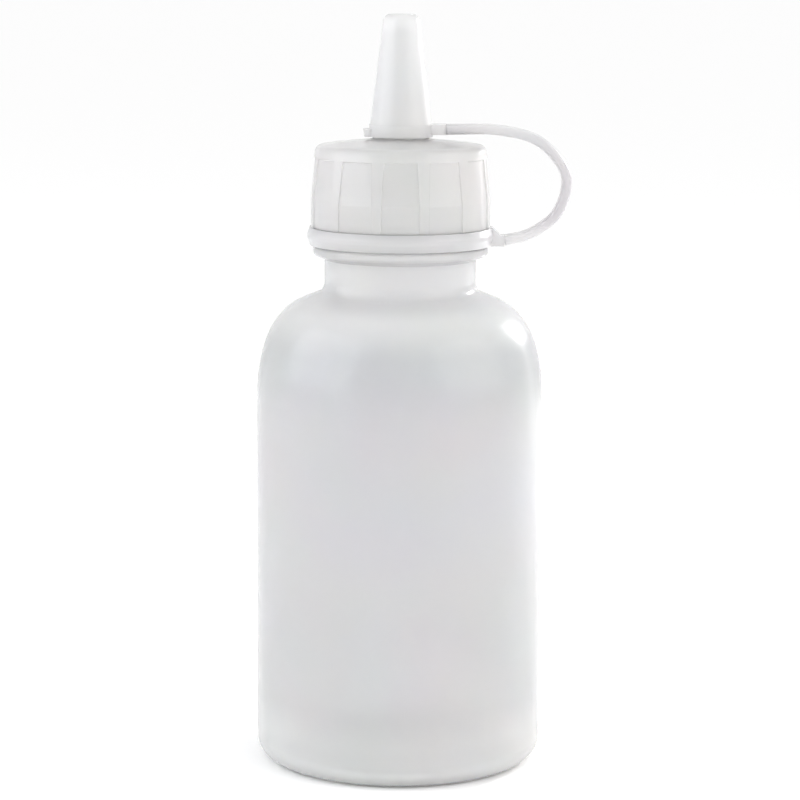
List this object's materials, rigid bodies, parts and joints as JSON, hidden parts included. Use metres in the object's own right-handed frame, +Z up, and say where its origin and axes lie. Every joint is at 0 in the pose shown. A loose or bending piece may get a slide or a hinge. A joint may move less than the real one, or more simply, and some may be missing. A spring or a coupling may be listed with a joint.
{
  "type": "dropper bottle",
  "caption": "Translucent squeeze bottle with a ribbed screw cap, tapered dropper spout and a tip cap tethered by a strap.",
  "frame": {"origin": "centre of the base, on the bottle's axis, in the plane it stands on", "axes": "+Z up along the bottle's axis to the tip cap, +X towards the strap"},
  "size_m": [0.042, 0.0384, 0.1006],
  "materials": {
    "bottle_ldpe": "milky translucent, satin",
    "cap_ldpe": "milky translucent, soft gloss",
    "tether_ldpe": "milky translucent, soft gloss"
  },
  "bodies": {
    "bottle": {"bottle": "bottle_ldpe"},
    "tether": {"strap_ring": "tether_ldpe", "strap": "tether_ldpe"},
    "screw_cap": {"screw_cap": "cap_ldpe"},
    "tip_cap": {"tip_cap": "tether_ldpe"}
  },
  "joints": [
    {"name": "cap_lift", "type": "slide", "parent": "bottle", "child": "tether", "axis": [0, 0, 1], "range_m": [0, 0.00635]},
    {"name": "cap_turn", "type": "hinge", "parent": "tether", "child": "screw_cap", "pos_m": [0, 0, 0.08], "axis": [0, 0, 1], "range_deg": [0, 720]},
    {"name": "tip_pull", "type": "slide", "parent": "tether", "child": "tip_cap", "axis": [0, 0, 1], "range_m": [0, 0.0155], "deforming": ["strap"]}
  ],
  "couplings": [
    {"joint": "cap_lift", "follows": "cap_turn", "m_per_rad": 0.00050532}
  ]
}
